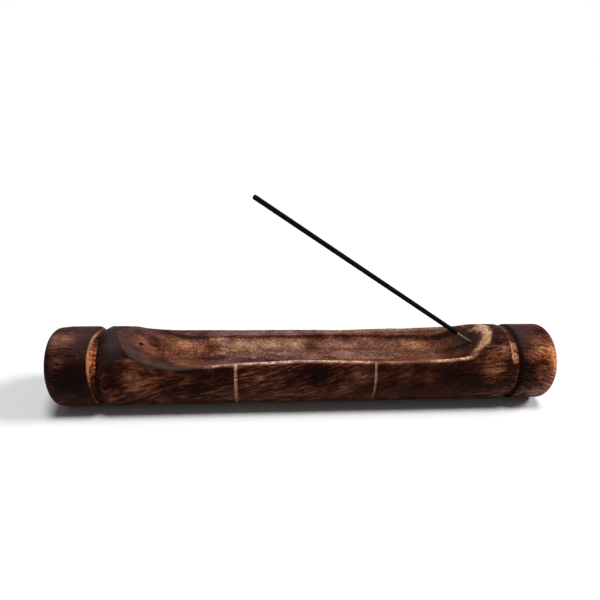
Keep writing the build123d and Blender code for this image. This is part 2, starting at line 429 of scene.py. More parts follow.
class Graph:
    """Short calls for making the nodes of one tree."""

    def __init__(self, tree):
        self.tree = tree

    def put(self, socket, value):
        if isinstance(value, Wire):
            self.tree.links.new(value.node.outputs[value.output], socket)
        else:
            socket.default_value = value

    def node(self, kind, inputs=(), **settings):
        made = self.tree.nodes.new(kind)
        for name, value in settings.items():
            setattr(made, name, value)
        for key, value in dict(inputs).items():
            self.put(made.inputs[key], value)
        return Wire(self, made)

    def math(self, operation, *values, clamp=False):
        return self.node("ShaderNodeMath", enumerate(values), operation=operation, use_clamp=clamp)

    def vector(self, operation, *values):
        made = self.node("ShaderNodeVectorMath", enumerate(values), operation=operation)
        return made["Value"] if operation in ("LENGTH", "DOT_PRODUCT", "DISTANCE") else made

    def scaled(self, vector, factor):
        return self.node("ShaderNodeVectorMath", {0: vector, "Scale": factor}, operation="SCALE")

    def triple(self, *values):
        return self.node("ShaderNodeCombineXYZ", enumerate(values))

    def noise(self, vector, scale=1.0, detail=2.0, roughness=0.5, seed=0.0, distortion=0.0):
        return self.node("ShaderNodeTexNoise", {
            "Vector": vector, "W": seed, "Scale": scale, "Detail": detail, "Roughness": roughness,
            "Distortion": distortion,
        }, noise_dimensions="4D")

    def reach(self, value, low, high, to_low=0.0, to_high=1.0):
        return self.node("ShaderNodeMapRange", enumerate((value, low, high, to_low, to_high)))

    def mix(self, share, first, second, blend_type="MIX"):
        values = {0: share, 6: first, 7: second}
        return self.node("ShaderNodeMix", values, data_type="RGBA", blend_type=blend_type)[2]

    def tinted(self, first, second):
        return self.mix(1.0, first, second, "MULTIPLY")

    def ramp(self, value, stops):
        made = self.node("ShaderNodeValToRGB", {0: value})
        elements = made.node.color_ramp.elements
        for place, _ in stops[1:-1]:
            elements.new(place)
        for element, (_, shade) in zip(elements, stops):
            element.color = shade
        return made

    def attribute(self, name, vector=False):
        if self.tree.bl_idname == "GeometryNodeTree":
            kind = "FLOAT_VECTOR" if vector else "FLOAT"
            return self.node("GeometryNodeInputNamedAttribute", {0: name}, data_type=kind)
        return self.node("ShaderNodeAttribute", attribute_name=name)["Vector" if vector else "Fac"]


def colour(values):
    """A colour setting with its alpha."""
    return (*values, 1.0)


def group_tree(name, kind, inputs, outputs):
    """Graph of a new node tree with named inputs and outputs of each type, and what comes in."""
    tree = bpy.data.node_groups.new(name, kind)
    for way, sockets in (("INPUT", inputs), ("OUTPUT", outputs)):
        for socket_type, labels in sockets.items():
            for label in labels:
                tree.interface.new_socket(label, in_out=way, socket_type="NodeSocket" + socket_type)
    graph = Graph(tree)
    return graph, graph.node("NodeGroupInput")


def shared_tree(name, make):
    """A node tree by name, made the first time that it is asked for."""
    return bpy.data.node_groups.get(name) or make()


def end_tree(graph, given, surface, height, name, values):
    """Moves a surface along its normals, keeps a named value and ends a geometry tree. Returns the tree."""
    offset = graph.scaled(graph.node("GeometryNodeInputNormal"), height)
    moved = graph.node("GeometryNodeSetPosition", {"Geometry": surface, "Offset": offset})
    kept = graph.node(
        "GeometryNodeStoreNamedAttribute", {"Geometry": moved, "Name": name, "Value": values},
        data_type="FLOAT", domain="POINT",
    )
    real = graph.node("GeometryNodeRealizeInstances", {0: kept})
    finish = graph.node("GeometryNodeSetMaterial", {"Geometry": real, "Material": given["Material"]})
    graph.node("NodeGroupOutput", {"Geometry": finish})
    return graph.tree


def apply_tree(piece, tree, values):
    """Runs a geometry tree on a piece with its inputs set, and keeps the plain, smoothly shaded result."""
    modifier = piece.modifiers.new(tree.name, "NODES")
    modifier.node_group = tree
    for item in tree.interface.items_tree:
        if item.in_out == "INPUT" and item.name in values:
            modifier[item.identifier] = values[item.name]
    settle(piece)
    faces = piece.data.polygons
    faces.foreach_set("use_smooth", np.ones(len(faces), dtype=bool))


# Carved round

def ring_places(sizes):
    """Places along the round for its rings of points, closer where the turning has detail."""
    end = HALF_LENGTH - sizes.end_round
    # Middle of each detail, its reach before and after, and the spacing there.
    details = (
        (sizes.left_groove, -4.2, 5.2, 0.36),
        (sizes.right_groove, -6.2, 2.6, 0.36),
        (sizes.left_score, -1.3, 1.3, 0.28),
        (sizes.right_score, -1.3, 1.3, 0.28),
        (0.0, -117, -98, 0.62),
        (0.0, 98, 119, 0.56),
    )
    easing = 0.3
    edge_rings = 8
    places = [-end]
    while places[-1] < end:
        here = places[-1]
        step = sizes.ring_spacing
        for middle, before, after, fine in details:
            away = max(middle + before * MM - here, here - (middle + after * MM), 0.0)
            step = min(step, fine * MM + away * easing)
        places.append(here + step)
    places = np.array(places)
    places = -end + (places + end) * (2 * end / (places[-1] + end))
    turns = np.sin(np.linspace(0, math.pi / 2, edge_rings + 1)[1:]) * sizes.end_round
    hair = 1e-6
    turns -= hair * (turns > sizes.end_round - hair)
    return np.concatenate((-end - turns[::-1], places, end + turns))


def girth_at(solid, along, angle):
    """Distance from the turning axis to the outside of the solid, at an angle from the top."""
    outward = Vector((0, math.sin(angle), math.cos(angle)))
    well_outside = RADIUS * 1.2
    start = Vector((along, 0, AXIS_HEIGHT)) + outward * well_outside
    point = solid.ray_cast(start, -outward)[0]
    return math.hypot(point.y, point.z - AXIS_HEIGHT)


def above_axis(half):
    """Height of the round over its axis at a distance from the middle."""
    return math.sqrt(RADIUS**2 - half**2)


def trough_half_width(solid, along):
    """Half width of the trough between its rims at a place along the round, or 0 beyond its ends."""
    plain_angle, widest_angle = math.radians(100), math.radians(78)
    dip = 0.04 * MM
    halvings = 7
    plain = girth_at(solid, along, -plain_angle)

    def is_hollow(angle):
        return girth_at(solid, along, -angle) < plain - dip

    step = math.radians(1)
    angle = widest_angle
    while angle > 0 and not is_hollow(angle):
        angle -= step
    if angle <= 0:
        return 0.0
    low, high = angle, angle + step
    for _ in range(halvings):
        middle = (low + high) / 2
        low, high = (middle, high) if is_hollow(middle) else (low, middle)
    return plain * math.sin(low)


def hand_rim(table, places, widths):
    """Half widths of a rim carved by hand, which meets the solid's at both ends of its table."""
    along, half = np.array(table).T * MM
    fade = 3.0 * MM
    share = rise(places, along[0], along[0] + fade) * fall(places, along[-1] - fade, along[-1])
    return widths + (np.interp(places, along, half) - widths) * share * (widths > 0)


def carve_rim(section, width, near, far):
    """Moves the walls of one section of the trough, so that its rims lie where the hand left them."""
    wall_start, wall_end = 0.60, 0.86
    least_depth = 0.3 * MM
    across, height = section[:, 1].copy(), section[:, 2].copy()
    floor = height.min()
    depth = max(AXIS_HEIGHT + above_axis(width) - floor, least_depth)
    moved = rise(np.abs(across), wall_start * width, wall_end * width)
    raised = moved * np.clip((height - floor) / depth, 0, 1) ** 2
    for side, target in ((-1, near), (1, far)):
        on_side = across * side > 0
        section[:, 1] += side * (target - width) * moved * on_side
        section[:, 2] += (above_axis(target) - above_axis(width)) * raised * on_side


def carved_grid(sizes):
    """Rings of points on the outside of the solid, and the half widths of the trough's near and far rims."""
    mesh = frame["nodes"]["holder_body"].data
    solid = BVHTree.FromPolygons([v.co for v in mesh.vertices], [p.vertices for p in mesh.polygons])
    inner = sizes.inner_columns
    strip_passes, evenness, crowding, fade_power = 3, 0.45, 0.06, 6
    down, high_above = Vector((0, 0, -1)), RADIUS * 3
    places = ring_places(sizes)
    widths = np.array([trough_half_width(solid, along) for along in places])
    near, far = hand_rim(NEAR_RIM, places, widths), hand_rim(FAR_RIM, places, widths)
    strip = np.maximum(widths, sizes.crown_width)
    for _ in range(strip_passes):
        strip[1:-1] = (strip[:-2] + 2 * strip[1:-1] + strip[2:]) / 4
    sweep = np.linspace(-1, 1, inner + 1)
    across_shares = evenness * sweep + (1 - evenness) * np.sin(sweep * math.pi / 2)
    turn = np.linspace(0, 1, sizes.outer_columns + 1)[1:-1]
    turn_shares = turn - crowding * np.sin(turn * 2 * math.pi)
    rings = np.empty((len(places), inner + sizes.outer_columns, 3))
    for ring, along, half, width, near_half, far_half in zip(rings, places, strip, widths, near, far):
        for column, share in enumerate(across_shares):
            ring[column] = solid.ray_cast(Vector((along, share * half, high_above)), down)[0]
        start = math.atan2(ring[inner, 1], ring[inner, 2] - AXIS_HEIGHT)
        end = 2 * math.pi + math.atan2(ring[0, 1], ring[0, 2] - AXIS_HEIGHT)
        near_turn, far_turn = (
            math.asin(rim / RADIUS) - math.asin(width / RADIUS) for rim in (near_half, far_half)
        )
        for column, share in enumerate(turn_shares, inner + 1):
            angle = start + (end - start) * share
            girth = girth_at(solid, along, angle)
            angle += far_turn * (1 - share) ** fade_power - near_turn * share**fade_power
            ring[column] = (along, girth * math.sin(angle), AXIS_HEIGHT + girth * math.cos(angle))
        if width > 0:
            carve_rim(ring[: inner + 1], width, near_half, far_half)
    return rings, places, near, far


def bridge_score(rings, places, score, columns):
    """Carries the rims of the trough unbroken across a scored ring."""
    reach = 1.4 * MM
    rows = np.flatnonzero(np.abs(places - score) < reach)
    beside = [rows[0] - 1, rows[-1] + 1]
    for column in (*range(columns + 3), -1):
        for axis in (1, 2):
            rings[rows, column, axis] = np.interp(places[rows], places[beside], rings[beside, column, axis])


def bridge_hole(rings, places, mouth, columns):
    """Carries the ramp's surface across the mouth of a stick hole."""
    reach_along, reach_across = 3.2 * MM, 1.7 * MM
    rows = np.flatnonzero(np.abs(places - mouth) < reach_along)
    first, last = rows[0], rows[-1]
    knots = [first - 4, first - 2, first - 1, last + 1, last + 2, last + 4]
    for column in range(columns + 1):
        if np.all(np.abs(rings[rows, column, 1]) < reach_across):
            curve = np.polyfit(places[knots] - mouth, rings[knots, column, 2], 3)
            rings[rows, column, 2] = np.polyval(curve, places[rows] - mouth)


def band_distance(along, across, points):
    """Distance in millimetres, seen from above, from each place to a line through points."""
    best = np.full(along.shape, np.inf)
    for (x0, y0), (x1, y1) in zip(points[:-1], points[1:]):
        run, side = x1 - x0, y1 - y0
        share = np.clip(((along - x0) * run + (across - y0) * side) / (run * run + side * side), 0, 1)
        best = np.minimum(best, np.hypot(along - x0 - share * run, across - y0 - share * side))
    return best


def soften_left_rim(rings, passes):
    """Rounds the rim over at the left end of the trough, where it is rubbed broad and smooth."""
    along, across = rings[..., 0] / MM, rings[..., 1] / MM
    line = [(x, -half) for x, half in NEAR_RIM if x < -60]
    reach, far_share, pull = 4.0, 0.6, 0.5
    near = fall(band_distance(along, across, line), 0, reach)
    far = far_share * fall(band_distance(along, -across, line), 0, reach)
    weight = np.maximum(near, far) * (rings[..., 2] > AXIS_HEIGHT) * fall(along, -88, -64)
    weight = (weight * pull)[1:-1, :, None]
    for _ in range(passes):
        around = (np.roll(rings, 1, axis=1) + np.roll(rings, -1, axis=1))[1:-1] + rings[:-2] + rings[2:]
        rings[1:-1, :, 1:] += (weight * (around / 4 - rings[1:-1]))[..., 1:]


def close_rings(rings):
    """Closed mesh from rings of points, with flat end faces of shrinking rings."""
    shares = (0.06, 0.18, 0.32, 0.46, 0.6, 0.74, 0.87, 0.96)
    centres = [np.array((ring[0, 0], 0.0, AXIS_HEIGHT)) for ring in (rings[0], rings[-1])]
    left_face = [centres[0] + (rings[0] - centres[0]) * share for share in shares]
    right_face = [centres[1] + (rings[-1] - centres[1]) * share for share in shares[::-1]]
    every = np.concatenate((left_face, rings, right_face))
    count, columns = every.shape[:2]
    points = np.concatenate((every.reshape(-1, 3), centres))
    number = np.arange(count * columns).reshape(count, columns)
    beside = np.roll(number, -1, axis=1)
    quads = np.stack((number[:-1], number[1:], beside[1:], beside[:-1]), axis=-1).reshape(-1, 4)
    left, right = count * columns, count * columns + 1
    caps = [(left, a, b) for a, b in zip(number[0], beside[0])]
    caps += [(right, b, a) for a, b in zip(number[-1], beside[-1])]
    mesh = bpy.data.meshes.new("carved_round")
    mesh.from_pydata(points.tolist(), [], quads.tolist() + caps)
    return mesh


def drill(piece, holes):
    """Cuts the stick holes: a place in the hole, its axis, radius, and reach below and above the place."""
    sides = 28
    tool = bmesh.new()
    for place, axis, radius, below, above in holes:
        turn = axis.to_track_quat("Z", "Y").to_matrix().to_4x4()
        middle = Matrix.Translation(Vector(place) + axis * ((above - below) / 2))
        bmesh.ops.create_cone(
            tool, cap_ends=True, segments=sides, radius1=radius, radius2=radius, depth=above + below,
            matrix=middle @ turn,
        )
    mesh = bpy.data.meshes.new("stick_drill")
    tool.to_mesh(mesh)
    tool.free()
    cutter = show("stick_drill", mesh)
    modifier = piece.modifiers.new("Stick holes", "BOOLEAN")
    modifier.operation = "DIFFERENCE"
    modifier.solver = "EXACT"
    modifier.object = cutter
    settle(piece)
    bpy.data.objects.remove(cutter)
    bpy.data.meshes.remove(mesh)


def tilt_ends(mesh, sizes):
    """Leans the two ends as the saw left them, and rubs off the upper edge of the left one."""
    points = vertex_places(mesh) / MM
    along, across, height = points.T
    start, end = 127, 144
    left_pivot, right_pivot = 27, 30
    rub = rise(-along, 141, 148) * fall(-along, 150.4, 151.3) * rise(height, 32, 44)
    rub *= sizes.left_rub / RADIUS
    across -= rub * across
    height -= rub * (height - AXIS_MM)
    lean = sizes.right_tilt * (height - right_pivot) * rise(along, start, end)
    along += lean - sizes.left_tilt * (height - left_pivot) * rise(-along, start, end)
    mesh.vertices.foreach_set("co", (points * MM).ravel())


# Finish of the wood

def rim_tree(places, near_rim, far_rim):
    """Search tree of points along both rims, in millimetres."""
    held = near_rim > 0
    count = 1500
    along = np.linspace(places[held][0], places[held][-1], count)
    tree = kdtree.KDTree(count * 2)
    for start, side, rim in ((0, -1, near_rim), (count, 1, far_rim)):
        half = np.interp(along, places[held], rim[held])
        height = AXIS_MM + np.sqrt(np.maximum(RADIUS_MM**2 - half**2, 0))
        for index, point in enumerate(zip(along, side * half, height), start):
            tree.insert(point, index)
    tree.balance()
    return tree


class Surface:
    """Where each point of the carved round lies, in millimetres and in degrees from the top."""

    def __init__(self, mesh, sizes, rims):
        self.sizes = sizes
        self.points = vertex_places(mesh) / MM
        self.along, self.across, self.height = self.points.T
        self.angle = np.degrees(np.arctan2(self.across, self.height - AXIS_MM))
        self.near = self.across < 0
        self.upper = self.height > AXIS_MM
        places, near_rim, far_rim = (values / MM for values in rims)
        self.half = self.by_side(*(np.interp(self.along, places, rim) for rim in (near_rim, far_rim)))
        tree = rim_tree(places, near_rim, far_rim)
        self.rim_gap = np.array([tree.find(point)[2] for point in self.points])
        self.in_trough = (np.abs(self.across) < self.half) & self.upper
        self.inward = np.where(self.in_trough, self.rim_gap, -self.rim_gap)
        self.hollow = rise(self.inward, -0.4, 0.9)
        facing = vertex_places(mesh, "normal")[:, 1]
        self.lean = self.by_side(facing, -facing)
        self.wall = rise(self.lean, 0.66, 0.86)

    def by_side(self, near, far):
        """One value on the near side and another on the far side."""
        return np.where(self.near, near, far)

    def swell(self, name, stretch=1.0):
        """Soft noise between -1 and 1, by its name in the table of swells."""
        size, seed = SWELLS[name]
        shift = Vector((seed * 17.3, seed * 5.1, seed * 9.7))
        return np.array([noise.noise(Vector(point) / size + shift) for point in self.points * stretch])

    def spot(self, name):
        """Soft spot by its name in one of the tables of spots."""
        if name in TROUGH_SPOTS:
            along, length, across, width = TROUGH_SPOTS[name]
            return self.hollow * spot((self.along - along) / length, (self.across - across) / width)
        along, length, angle, width = OUTSIDE_SPOTS[name]
        return spot((self.along - along) / length, (self.angle - angle) / width)


def patch_sum(along, girth, patches, scale):
    """Sum of soft patches. The scale turns their second number into millimetres."""
    total = np.zeros(along.shape)
    for x, second, length, width, change in patches:
        total += change * spot((along - x) / length, (girth - second * scale) / width)
    return total


def strength_along(along, table):
    """Strength from a table of places, and none before and after it."""
    return np.interp(along, *np.array(table).T, left=0, right=0)


def ground_tone(at):
    """Tone of the plain ground, with its patches, and of the walls and creases of the trough, with painted shade
    in the creases and along the foot of the far wall.
    """
    degree = math.radians(1) * RADIUS_MM
    drift_along, drift_round, drift_across = 5.0, 3.0, 1.75
    rim_shade, floor_mottle, far_wall, crease_painted_shade, wall_foot_painted_shade = 0.06, 0.11, 0.19, 0.15, 0.05
    along = at.along + drift_along * at.swell("drift_along")
    girth = at.angle * degree + drift_round * at.swell("drift_round")
    across = at.across + drift_across * at.swell("drift_across")
    outside = TONES["outside"] + patch_sum(along, girth, OUTSIDE_PATCHES, degree)
    outside -= rim_shade * fall(-at.inward, 3, 9) * (at.along > -70)
    trough = TONES["trough"] + patch_sum(along, across, TROUGH_PATCHES, 1.0)
    trough += floor_mottle * at.swell("floor", (0.45, 1.0, 1.0))
    # Painted shade: the crease where the walls of the trough meet its floor is darker.
    crease = rise(at.lean, 0.24, 0.42) * fall(at.lean, 0.62, 0.88) * rise(at.rim_gap, 1, 3)
    trough += at.by_side(0.0, far_wall) * at.wall - crease_painted_shade * crease * (1 + 0.7 * at.swell("crease"))
    # Painted shade: a dark strip on the floor along the foot of the far wall.
    trough -= wall_foot_painted_shade * spot((at.across - at.half + 4.2) / 2.2) * (1 - at.wall) * (at.along > -60)
    return blend(outside, at.hollow, trough)


def groove_tone(at, tone):
    """Tone with the ring grooves' marks, and shares of toasted, pale and worn wood and of painted glints."""
    from_left = at.along - at.sizes.left_groove / MM
    from_right = at.along - at.sizes.right_groove / MM
    burns, flecks = (rise(at.swell(name), 0.05, 0.30) for name in ("burns", "flecks"))
    toasted_lift, burn_depth, worn_lift, fleck_depth = 0.62, 0.30, 0.50, 0.34
    bevel_lift, line_lift, edge_shade = 0.04, 0.34, 0.15
    turns = {name: band(at.angle, *ends) for name, ends in TURNS.items()}
    toasted_turn = turns["toasted"] + 0.25 * turns["half_toasted"]
    full = turns["pale"]
    line = np.interp(at.angle, *np.array(PALE_LINE).T)
    wide = 0.45 + 0.35 * full
    pale = band(from_left, line - wide, line + wide, 0.25) * (0.42 + 0.58 * full)
    cap_wall = band(from_left, line + wide, 0.2, 0.25)
    # Dark flank on the body's side of the left groove: burnt, and partly painted shade.
    body_wall = band(from_left, 0.7, 2.4, 0.4)
    # Painted glints: a dotted line of bright specks along the left groove.
    glints = spot((from_left - 0.45) / 0.42) * turns["glints"]
    tone = blend(tone, 0.95 * pale, TONES["pale_edge"])
    tone = blend(tone, cap_wall, TONES["cap_wall"] + (toasted_lift - burn_depth * burns) * toasted_turn)
    tone = blend(tone, 0.8 * body_wall, TONES["body_wall"])

    burnt = np.interp(at.angle, *np.array(BURNT_AND_SHADED_BAND).T)
    worn_turn = turns["worn"]
    # Black band in the right groove: burnt, and partly painted shade.
    black_wall = band(from_right, burnt - 1.35, burnt + 1.35, 0.35)
    bevel = band(from_right, -4.1, burnt - 1.5, 0.25)
    bevel_edge = spot((from_right + 4.5) / 0.45) * (1 - worn_turn)
    bevel_line = spot((from_right - burnt + 1.8) / 0.4) * turns["bevel_line"]
    tone = tone + bevel * (bevel_lift + (worn_lift - fleck_depth * flecks) * worn_turn)
    tone = tone + line_lift * bevel_line - edge_shade * bevel_edge
    tone = blend(tone, black_wall, TONES["black_wall"])
    return tone, cap_wall * toasted_turn, pale, bevel * worn_turn, glints


def score_share(at):
    """Share of each point that lies in a scored ring on the outside."""
    left = fall(np.abs(at.along - at.sizes.left_score / MM), 0.6, 1.2)
    right = fall(np.abs(at.along - at.sizes.right_score / MM), 0.45, 1.0)
    return np.maximum(left, right) * (1 - at.hollow) * at.by_side(1 - 0.55 * rise(-at.angle, 92, 118), 0.6)


def rim_wear(at):
    """Shares of wear on both rims, of wood rubbed lighter beside them, and of the worn lip on the right; the pale
    crests and the lip are partly a painted highlight.
    """
    held = at.by_side(strength_along(at.along, NEAR_WEAR), strength_along(at.along, FAR_WEAR))
    held = held * (0.95 + 0.5 * at.swell("rim"))
    off_crest = np.max((at.inward - 1.6, -0.3 - at.inward, np.zeros(held.shape)), axis=0)
    wear = np.clip(held * spot(off_crest / 0.7), 0, 1)
    rubbed = held * spot(at.inward / 2.6) * (1 - at.hollow)
    gap = band_distance(at.along, at.across, RIGHT_LIP) + 0.9 * at.swell("lip")
    lip = fall(gap, 0.8, 4.6) * (at.height > AXIS_MM + 0.4 * RADIUS_MM)
    fading = rise(at.across, -18, -9) * (1 - 0.65 * rise(at.across, 6.5, 11))
    return np.maximum(wear, 1.25 * lip * fading), rubbed, lip


def rim_soot_and_sheen(at):
    """Shares of the sooty band inside the left end of the rim, partly a painted sheen, and of the dark line
    beneath it, a burnt edge with painted shadow.
    """
    strength = strength_along(at.along, RIM_SOOT_AND_SHEEN) * at.upper
    ragged = at.inward + 1.2 * at.swell("soot_edge")
    # Grey band inside the rim at the left end of the trough: soot and painted sheen.
    sooty = rise(at.inward, -1.5, -0.3) * fall(ragged, 4.0, 9.6) * strength
    sooty *= (1 - 0.6 * rise(at.across, 0, 14)) * (0.85 + 0.6 * at.swell("soot_and_sheen"))
    # Dark line just outside the near rim at its left end: burnt edge and painted shadow of the rim.
    under = spot((at.inward + 1.8) / 0.8) * at.near * strength * rise(at.along, -86, -70)
    return sooty, under


def rosy_share(at, score):
    """Share of the cooler, rosy brown in the trough, on the left cap and at the foot of the right one."""
    near_floor = (1 - 0.85 * rise(at.across, -5, 6)) * (1 - at.wall)
    near_floor *= rise(at.along, -72, -54) * fall(at.along, 50, 72)
    near_floor *= 1 - rise(at.along, 0, 20) * fall(at.across, -7, 1)
    far_wall = at.wall * ~at.near * (1 - 0.75 * rise(at.along, 15, 60))
    far_ramp = 0.5 * rise(at.across, 2, 8) * fall(at.along, -98, -89)
    left_end = fall(at.along, -129.5, -127.5) + at.spot("left_top") * (at.along > -126)
    outer = np.clip(0.5 * left_end + 0.7 * at.spot("right_foot") + 0.35 * score, 0, 1) * (1 - at.hollow)
    return np.maximum(at.hollow * np.clip(far_wall + near_floor + far_ramp, 0, 1), outer)


def speckle_share(at, lip, worn):
    """Share of the coarse speckle on the trough's floor, the lip and the right end."""
    floor = at.hollow * (1 - at.wall) * rise(at.across, -9, -3) * rise(at.along, -96, -86)
    shoulder = spot((at.along - 110) / 8) * (1 - at.hollow)
    cap = rise(at.along, 128, 134) * rise(-at.angle, 20, 36)
    return np.clip(0.15 * at.hollow + 0.65 * floor + lip + worn + 0.5 * shoulder + 0.6 * cap, 0, 1)


def grain_flow(at):
    """Place of each point along and across the run of the grain, in metres."""
    slant_x, slant = np.array(GRAIN_SLANT).T
    steps = np.linspace(-HALF_LENGTH, HALF_LENGTH, 600) / MM
    climb = np.concatenate(([0], np.cumsum(np.interp(steps[1:], slant_x, slant) * np.diff(steps))))
    fan_place, fan_length, fan_angle = -86, 20, -79
    on_body = rise(at.along - at.sizes.left_groove / MM, 3.5, 5.5)
    spread = 1 + np.maximum(fan_place - at.along, 0) / fan_length * on_body * at.near
    girth = np.radians(fan_angle + (at.angle - fan_angle) / spread) * RADIUS_MM
    girth -= np.interp(at.along, steps, climb) * at.by_side(1, 0.4)
    short = 1 + 0.9 * rise(np.abs(at.along), 126, 128)
    outer = np.stack((at.along * short, girth, np.hypot(at.across, at.height - AXIS_MM)), axis=1)
    inner = np.stack((at.along, at.across + 0.05 * at.along, at.height), axis=1)
    return np.where(at.in_trough[:, None], inner, outer) * MM


def lay_finish(mesh, sizes, rims, mouths):
    """Stores, for each point, how the fire and the wear of hands left the wood, and where light and shade are
    painted on it.
    """
    at = Surface(mesh, sizes, rims)
    tone, toasted, pale, worn, glints = groove_tone(at, ground_tone(at))
    score = score_share(at)
    wear, rubbed, lip = rim_wear(at)
    sooty, under = rim_soot_and_sheen(at)
    rubbed_lift, char_and_shadow_depth, soot_and_sheen_shade = 0.16, 0.14, 0.16
    tone = blend(tone, score, np.where(at.along < 0, TONES["left_score"], TONES["right_score"]))
    # Painted shade: the wood goes black inside the mouths of the stick holes and fades out just past their edges.
    for mouth in mouths:
        tone = tone * rise(np.linalg.norm(at.points - np.array(mouth) / MM, axis=1), 0.9, 1.6)
    tone = tone + rubbed_lift * rubbed - char_and_shadow_depth * under - soot_and_sheen_shade * sooty

    # Grey on the tops of the end caps and of the body's left end: painted sheen and soot.
    crown = at.spot("left_crown") + at.spot("right_crown")
    outer_soot_and_sheen = np.maximum(0.6 * crown, 0.8 * at.spot("left_top")) * fall(at.inward, 0.8, 3)
    # Grey in the hollow by the right hole: soot and painted shade.
    soot_and_sheen = np.clip(np.max((sooty, outer_soot_and_sheen, 0.75 * at.spot("right_hole")), axis=0), 0, 1)
    cap = np.clip(at.spot("right_cap") + rise(at.along, 146, 149) + 0.5 * worn, 0, 1)
    glow = at.spot("left_oval") + at.spot("left_fan") + at.spot("right_fleck")
    warm = 0.7 * cap + 0.15 * lip + 0.12 * pale + 0.3 * glow
    left_calm = 0.8 * fall(at.along, -130, -126)
    half_length = HALF_LENGTH / MM
    marks = {
        "tone": tone,
        "wear": wear,
        "soot_and_sheen": soot_and_sheen,
        "ember": np.clip(np.maximum(toasted, warm), 0, 1),
        "rosy": rosy_share(at, score),
        "calm": np.maximum(rise(at.along, 0, 60) * fall(at.along, 98, 112), left_calm),
        "speckle": speckle_share(at, lip, worn),
        "hollow": at.hollow,
        "end_face": rise(np.abs(at.along), half_length - 0.25, half_length - 0.05),
        "rim": spot(at.rim_gap / 1.6),
        "chatter": toasted,
        "glints": glints,
        "turn": np.radians(at.angle),
        "flow": grain_flow(at),
    }
    for name, values in marks.items():
        store(mesh, name, values)


def tool_mark_tree():
    """Geometry tree that moves a surface along its normals by the marks of tools, wear and raised grain."""
    graph, given = group_tree("Tool marks", "GeometryNodeTree", {
        "Geometry": ["Geometry"],
        "Float": [
            "Wobble", "Wobble spacing", "Gouge", "Gouge spacing", "Rim wear", "Chatter", "Chatter count",
            "Grain", "Seed",
        ],
        "Material": ["Material"],
    }, {"Geometry": ["Geometry"]})
    place = graph.node("GeometryNodeInputPosition")
    flow = graph.attribute("flow", vector=True)

    def swell(vector, spacing, stretch, seed_step, detail):
        spacings = graph.triple(*(given[spacing] * share for share in stretch))
        scaled = graph.vector("DIVIDE", vector, spacings)
        return graph.noise(scaled, detail=detail, seed=given["Seed"] + seed_step) - 0.5

    wobble = swell(place, "Wobble spacing", (1.6, 1.0, 1.0), seed_step=0.0, detail=1.0) * given["Wobble"]
    long_marks = swell(flow, "Gouge spacing", (4.5, 1.0, 1.0), seed_step=4.0, detail=2.0)
    gouge = long_marks * (given["Gouge"] * graph.attribute("hollow"))
    nicks = swell(place, "Gouge spacing", (1.1, 0.7, 0.7), seed_step=9.0, detail=3.0)
    rim = nicks * (given["Rim wear"] * graph.attribute("rim"))
    beat = graph.math("SINE", graph.attribute("turn") * given["Chatter count"] + nicks * 9.0)
    beads = beat * graph.attribute("chatter")
    raised = swell(flow, "Gouge spacing", (1.8, 0.2, 0.2), seed_step=14.0, detail=2.0)
    grain = raised * given["Grain"]
    height = wobble + gouge + rim + beads * given["Chatter"] + grain
    height = height * (1.0 - graph.attribute("end_face"))
    return end_tree(graph, given, given["Geometry"], height, "beads", beads)


# Incense stick

def stick_line(node):
    """Foot, tip and radius of a CAD node that lies along the stick's axis."""
    points = vertex_places(frame["nodes"][node].data)
    axis = np.array(STICK_AXIS)
    side = np.array((axis[2], 0, -axis[0]))
    run = points @ axis
    lift = points @ side
    middle = side * (lift.min() + lift.max()) / 2
    return Vector(middle + axis * run.min()), Vector(middle + axis * run.max()), (lift.max() - lift.min()) / 2


def stick_tree():
    """Geometry tree that sweeps a round stick with rounded ends and an uneven surface."""
    graph, given = group_tree("Stick", "GeometryNodeTree", {
        "Geometry": ["Geometry"],
        "Vector": ["Foot", "Tip"],
        "Int": ["Rings", "Sides"],
        "Float": ["Radius", "Foot round", "Tip round", "Grain", "Grain size", "Grain stretch", "Seed"],
        "Material": ["Material"],
    }, {"Geometry": ["Geometry"]})
    foot, tip = given["Foot"], given["Tip"]
    end_drop, end_curve, grain_middle = 0.45, 2.2, 0.62

    def end_shrink(gap, rounding):
        short = 1.0 - graph.math("DIVIDE", gap, rounding, clamp=True)
        return 1.0 - graph.math("POWER", short, end_curve) * end_drop

    line = graph.node("GeometryNodeCurvePrimitiveLine", {"Start": foot, "End": tip})
    path = graph.node("GeometryNodeResampleCurve", {"Curve": line, "Count": given["Rings"]})
    run = graph.node("GeometryNodeSplineParameter")["Length"]
    rest = graph.vector("DISTANCE", foot, tip) - run
    girth = end_shrink(run, given["Foot round"]) * end_shrink(rest, given["Tip round"]) * given["Radius"]
    ring = graph.node("GeometryNodeCurvePrimitiveCircle", {"Resolution": given["Sides"], "Radius": 1.0})
    swept = graph.node("GeometryNodeCurveToMesh", {
        "Curve": path, "Profile Curve": ring, "Scale": girth, "Fill Caps": True,
    })
    along = graph.vector("NORMALIZE", graph.vector("SUBTRACT", tip, foot))
    from_foot = graph.vector("SUBTRACT", graph.node("GeometryNodeInputPosition"), foot)
    lengthwise = graph.vector("DOT_PRODUCT", from_foot, along)
    slide = graph.scaled(along, lengthwise * given["Grain stretch"])
    size = given["Grain size"]
    squeezed = graph.vector("SUBTRACT", from_foot, slide)
    grains = graph.noise(graph.vector("DIVIDE", squeezed, graph.triple(size, size, size)), seed=given["Seed"])
    return end_tree(graph, given, swept, (grains - grain_middle) * given["Grain"], "lengthwise", lengthwise)


def swept_stick(name, node, values):
    """Piece swept along the line of a CAD node."""
    foot, tip, girth = stick_line(node)
    piece = show(name, bpy.data.meshes.new(name))
    apply_tree(piece, shared_tree("Stick", stick_tree), {"Foot": foot, "Tip": tip, "Radius": girth, **values})
    return piece


# Materials

